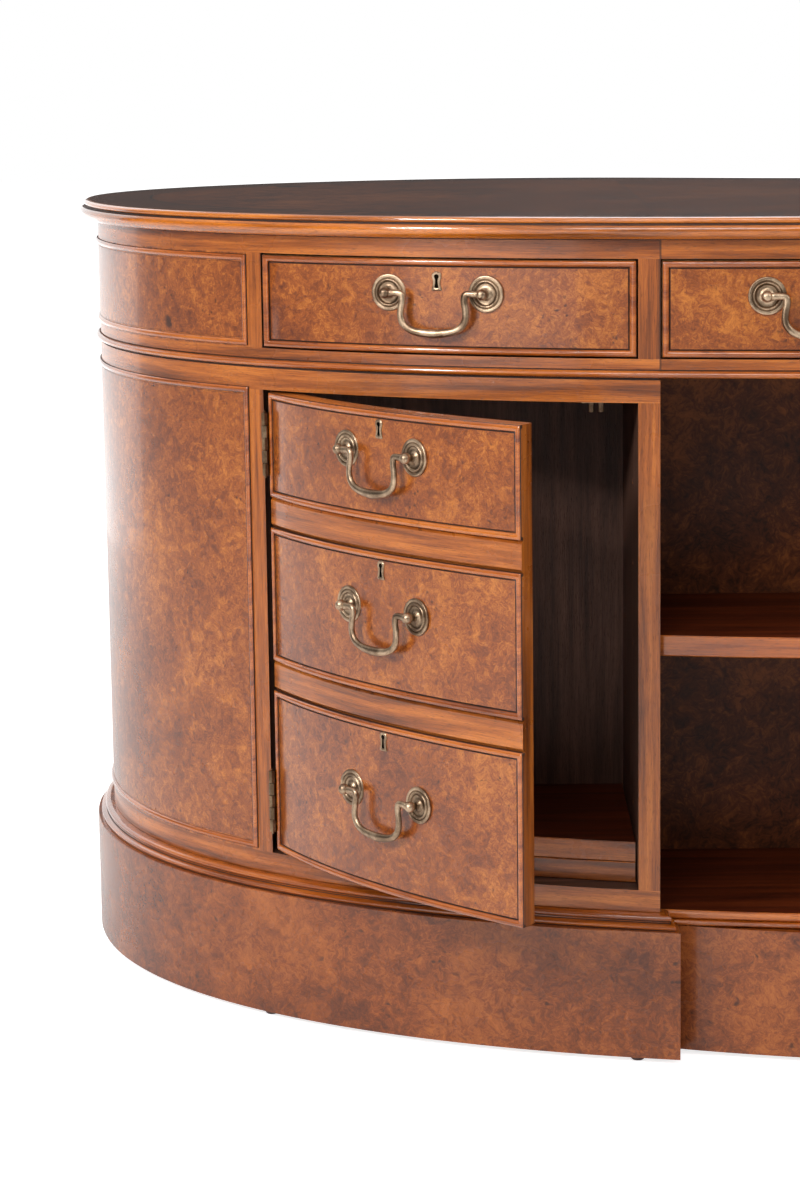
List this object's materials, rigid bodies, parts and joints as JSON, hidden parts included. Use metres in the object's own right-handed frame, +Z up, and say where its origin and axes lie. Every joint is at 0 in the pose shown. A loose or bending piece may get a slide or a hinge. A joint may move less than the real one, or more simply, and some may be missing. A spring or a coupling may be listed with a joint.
{
  "type": "kidney desk",
  "caption": "Kidney-shaped pedestal desk with drawers in its frieze, cupboard doors faced as drawers, an open bookcase between them and drawers on the sitter's side.",
  "frame": {"origin": "middle of the footprint on the floor, with the left door open as it rests", "axes": "+Z up; +X to the right of someone who faces the bookcase side; -Y out of the bookcase side, +Y towards the sitter"},
  "size_m": [1.8294, 1.033, 0.775],
  "materials": {
    "burr_walnut": "polished burr veneer",
    "straight_walnut": "polished straight grain",
    "antique_brass": "aged, satin"
  },
  "bodies": {
    "desk": {"bookcase_back": "burr_walnut", "bookcase_floor": "straight_walnut", "bookcase_shelf": "straight_walnut", "centre_plinth": "burr_walnut", "desk_top": "burr_walnut", "frieze_case": "straight_walnut", "left_catch": "antique_brass", "left_hinge_1_frame_leaf": "antique_brass", "left_hinge_2_frame_leaf": "antique_brass", "left_loose_shelf_1": "straight_walnut", "left_loose_shelf_2": "straight_walnut", "left_pedestal": "straight_walnut", "left_plinth": "burr_walnut", "right_catch": "antique_brass", "right_hinge_1_frame_leaf": "antique_brass", "right_hinge_2_frame_leaf": "antique_brass", "right_loose_shelf_1": "straight_walnut", "right_loose_shelf_2": "straight_walnut", "right_pedestal": "straight_walnut", "right_plinth": "burr_walnut"},
    "left_door": {"left_door": "burr_walnut", "left_hinge_1_door_leaf": "antique_brass", "left_hinge_2_door_leaf": "antique_brass"},
    "right_door": {"right_door": "burr_walnut", "right_hinge_1_door_leaf": "antique_brass", "right_hinge_2_door_leaf": "antique_brass"},
    "centre_frieze_drawer_back": {"centre_frieze_drawer_back": "burr_walnut", "centre_frieze_drawer_back_tray": "straight_walnut"},
    "centre_frieze_drawer_front": {"centre_frieze_drawer_front": "burr_walnut", "centre_frieze_drawer_front_tray": "straight_walnut"},
    "left_frieze_drawer_back": {"left_frieze_drawer_back": "burr_walnut"},
    "left_frieze_drawer_front": {"left_frieze_drawer_front": "burr_walnut"},
    "left_pedestal_drawer_1": {"left_pedestal_drawer_1": "burr_walnut"},
    "left_pedestal_drawer_2": {"left_pedestal_drawer_2": "burr_walnut"},
    "left_pedestal_drawer_3": {"left_pedestal_drawer_3": "burr_walnut"},
    "right_frieze_drawer_back": {"right_frieze_drawer_back": "burr_walnut"},
    "right_frieze_drawer_front": {"right_frieze_drawer_front": "burr_walnut"},
    "right_pedestal_drawer_1": {"right_pedestal_drawer_1": "burr_walnut"},
    "right_pedestal_drawer_2": {"right_pedestal_drawer_2": "burr_walnut"},
    "right_pedestal_drawer_3": {"right_pedestal_drawer_3": "burr_walnut"},
    "centre_frieze_drawer_back_bail_1": {"centre_frieze_drawer_back_bail_1": "antique_brass"},
    "centre_frieze_drawer_back_bail_2": {"centre_frieze_drawer_back_bail_2": "antique_brass"},
    "centre_frieze_drawer_front_bail_1": {"centre_frieze_drawer_front_bail_1": "antique_brass"},
    "centre_frieze_drawer_front_bail_2": {"centre_frieze_drawer_front_bail_2": "antique_brass"},
    "left_door_bail_1": {"left_door_bail_1": "antique_brass"},
    "left_door_bail_2": {"left_door_bail_2": "antique_brass"},
    "left_door_bail_3": {"left_door_bail_3": "antique_brass"},
    "left_frieze_drawer_back_bail": {"left_frieze_drawer_back_bail": "antique_brass"},
    "left_frieze_drawer_front_bail": {"left_frieze_drawer_front_bail": "antique_brass"},
    "left_pedestal_drawer_1_bail": {"left_pedestal_drawer_1_bail": "antique_brass"},
    "left_pedestal_drawer_2_bail": {"left_pedestal_drawer_2_bail": "antique_brass"},
    "left_pedestal_drawer_3_bail": {"left_pedestal_drawer_3_bail": "antique_brass"},
    "right_door_bail_1": {"right_door_bail_1": "antique_brass"},
    "right_door_bail_2": {"right_door_bail_2": "antique_brass"},
    "right_door_bail_3": {"right_door_bail_3": "antique_brass"},
    "right_frieze_drawer_back_bail": {"right_frieze_drawer_back_bail": "antique_brass"},
    "right_frieze_drawer_front_bail": {"right_frieze_drawer_front_bail": "antique_brass"},
    "right_pedestal_drawer_1_bail": {"right_pedestal_drawer_1_bail": "antique_brass"},
    "right_pedestal_drawer_2_bail": {"right_pedestal_drawer_2_bail": "antique_brass"},
    "right_pedestal_drawer_3_bail": {"right_pedestal_drawer_3_bail": "antique_brass"}
  },
  "joints": [
    {"name": "centre_frieze_drawer_back_slide", "type": "slide", "parent": "desk", "child": "centre_frieze_drawer_back", "axis": [0, 1, 0], "range_m": [0, 0.2]},
    {"name": "centre_frieze_drawer_front_slide", "type": "slide", "parent": "desk", "child": "centre_frieze_drawer_front", "axis": [0, -1, 0], "range_m": [0, 0.34]},
    {"name": "left_frieze_drawer_back_slide", "type": "slide", "parent": "desk", "child": "left_frieze_drawer_back", "axis": [0, 1, 0], "range_m": [0, 0.3]},
    {"name": "left_frieze_drawer_front_slide", "type": "slide", "parent": "desk", "child": "left_frieze_drawer_front", "axis": [0, -1, 0], "range_m": [0, 0.3]},
    {"name": "left_pedestal_drawer_1_slide", "type": "slide", "parent": "desk", "child": "left_pedestal_drawer_1", "axis": [0, 1, 0], "range_m": [0, 0.38]},
    {"name": "left_pedestal_drawer_2_slide", "type": "slide", "parent": "desk", "child": "left_pedestal_drawer_2", "axis": [0, 1, 0], "range_m": [0, 0.38]},
    {"name": "left_pedestal_drawer_3_slide", "type": "slide", "parent": "desk", "child": "left_pedestal_drawer_3", "axis": [0, 1, 0], "range_m": [0, 0.38]},
    {"name": "right_frieze_drawer_back_slide", "type": "slide", "parent": "desk", "child": "right_frieze_drawer_back", "axis": [0, 1, 0], "range_m": [0, 0.3]},
    {"name": "right_frieze_drawer_front_slide", "type": "slide", "parent": "desk", "child": "right_frieze_drawer_front", "axis": [0, -1, 0], "range_m": [0, 0.3]},
    {"name": "right_pedestal_drawer_1_slide", "type": "slide", "parent": "desk", "child": "right_pedestal_drawer_1", "axis": [0, 1, 0], "range_m": [0, 0.38]},
    {"name": "right_pedestal_drawer_2_slide", "type": "slide", "parent": "desk", "child": "right_pedestal_drawer_2", "axis": [0, 1, 0], "range_m": [0, 0.38]},
    {"name": "right_pedestal_drawer_3_slide", "type": "slide", "parent": "desk", "child": "right_pedestal_drawer_3", "axis": [0, 1, 0], "range_m": [0, 0.38]},
    {"name": "left_door_hinge", "type": "hinge", "parent": "desk", "child": "left_door", "pos_m": [-0.7042, -0.22851, 0.385], "axis": [0, 0, -1], "range_deg": [-27.8, 65]},
    {"name": "right_door_hinge", "type": "hinge", "parent": "desk", "child": "right_door", "pos_m": [0.7042, -0.22851, 0.385], "axis": [0, 0, 1], "range_deg": [0, 93]},
    {"name": "centre_frieze_drawer_back_bail_1_swing", "type": "hinge", "parent": "centre_frieze_drawer_back", "child": "centre_frieze_drawer_back_bail_1", "pos_m": [-0.19613, 0.42822, 0.705], "axis": [0.9295, -0.3688, 0], "range_deg": [-8, 95]},
    {"name": "centre_frieze_drawer_back_bail_2_swing", "type": "hinge", "parent": "centre_frieze_drawer_back", "child": "centre_frieze_drawer_back_bail_2", "pos_m": [0.19613, 0.42822, 0.705], "axis": [0.9295, 0.3688, 0], "range_deg": [-8, 95]},
    {"name": "centre_frieze_drawer_front_bail_1_swing", "type": "hinge", "parent": "centre_frieze_drawer_front", "child": "centre_frieze_drawer_front_bail_1", "pos_m": [-0.20113, -0.40775, 0.705], "axis": [-0.9942, 0.1077, 0], "range_deg": [-8, 95]},
    {"name": "centre_frieze_drawer_front_bail_2_swing", "type": "hinge", "parent": "centre_frieze_drawer_front", "child": "centre_frieze_drawer_front_bail_2", "pos_m": [0.20113, -0.40775, 0.705], "axis": [-0.9942, -0.1077, 0], "range_deg": [-8, 95]},
    {"name": "left_door_bail_1_swing", "type": "hinge", "parent": "left_door", "child": "left_door_bail_1", "pos_m": [-0.59938, -0.39641, 0.56907], "axis": [-0.6425, 0.7663, 0], "range_deg": [-8, 95]},
    {"name": "left_door_bail_2_swing", "type": "hinge", "parent": "left_door", "child": "left_door_bail_2", "pos_m": [-0.59938, -0.39641, 0.42624], "axis": [-0.6425, 0.7663, 0], "range_deg": [-8, 95]},
    {"name": "left_door_bail_3_swing", "type": "hinge", "parent": "left_door", "child": "left_door_bail_3", "pos_m": [-0.59938, -0.39641, 0.25461], "axis": [-0.6425, 0.7663, 0], "range_deg": [-8, 95]},
    {"name": "left_frieze_drawer_back_bail_swing", "type": "hinge", "parent": "left_frieze_drawer_back", "child": "left_frieze_drawer_back_bail", "pos_m": [-0.53412, 0.50292, 0.705], "axis": [0.9943, 0.1071, 0], "range_deg": [-8, 95]},
    {"name": "left_frieze_drawer_front_bail_swing", "type": "hinge", "parent": "left_frieze_drawer_front", "child": "left_frieze_drawer_front_bail", "pos_m": [-0.54359, -0.32379, 0.705], "axis": [-0.9209, 0.3898, 0], "range_deg": [-8, 95]},
    {"name": "left_pedestal_drawer_1_bail_swing", "type": "hinge", "parent": "left_pedestal_drawer_1", "child": "left_pedestal_drawer_1_bail", "pos_m": [-0.53412, 0.50292, 0.56829], "axis": [0.9943, 0.1071, 0], "range_deg": [-8, 95]},
    {"name": "left_pedestal_drawer_2_bail_swing", "type": "hinge", "parent": "left_pedestal_drawer_2", "child": "left_pedestal_drawer_2_bail", "pos_m": [-0.53412, 0.50292, 0.42752], "axis": [0.9943, 0.1071, 0], "range_deg": [-8, 95]},
    {"name": "left_pedestal_drawer_3_bail_swing", "type": "hinge", "parent": "left_pedestal_drawer_3", "child": "left_pedestal_drawer_3_bail", "pos_m": [-0.53412, 0.50292, 0.25543], "axis": [0.9943, 0.1071, 0], "range_deg": [-8, 95]},
    {"name": "right_door_bail_1_swing", "type": "hinge", "parent": "right_door", "child": "right_door_bail_1", "pos_m": [0.53317, -0.32815, 0.56907], "axis": [-0.9257, -0.3782, 0], "range_deg": [-8, 95]},
    {"name": "right_door_bail_2_swing", "type": "hinge", "parent": "right_door", "child": "right_door_bail_2", "pos_m": [0.53317, -0.32815, 0.42624], "axis": [-0.9257, -0.3782, 0], "range_deg": [-8, 95]},
    {"name": "right_door_bail_3_swing", "type": "hinge", "parent": "right_door", "child": "right_door_bail_3", "pos_m": [0.53317, -0.32815, 0.25461], "axis": [-0.9257, -0.3782, 0], "range_deg": [-8, 95]},
    {"name": "right_frieze_drawer_back_bail_swing", "type": "hinge", "parent": "right_frieze_drawer_back", "child": "right_frieze_drawer_back_bail", "pos_m": [0.53412, 0.50292, 0.705], "axis": [0.9943, -0.1071, 0], "range_deg": [-8, 95]},
    {"name": "right_frieze_drawer_front_bail_swing", "type": "hinge", "parent": "right_frieze_drawer_front", "child": "right_frieze_drawer_front_bail", "pos_m": [0.54359, -0.32379, 0.705], "axis": [-0.9209, -0.3898, 0], "range_deg": [-8, 95]},
    {"name": "right_pedestal_drawer_1_bail_swing", "type": "hinge", "parent": "right_pedestal_drawer_1", "child": "right_pedestal_drawer_1_bail", "pos_m": [0.53412, 0.50292, 0.56829], "axis": [0.9943, -0.1071, 0], "range_deg": [-8, 95]},
    {"name": "right_pedestal_drawer_2_bail_swing", "type": "hinge", "parent": "right_pedestal_drawer_2", "child": "right_pedestal_drawer_2_bail", "pos_m": [0.53412, 0.50292, 0.42752], "axis": [0.9943, -0.1071, 0], "range_deg": [-8, 95]},
    {"name": "right_pedestal_drawer_3_bail_swing", "type": "hinge", "parent": "right_pedestal_drawer_3", "child": "right_pedestal_drawer_3_bail", "pos_m": [0.53412, 0.50292, 0.25543], "axis": [0.9943, -0.1071, 0], "range_deg": [-8, 95]}
  ]
}
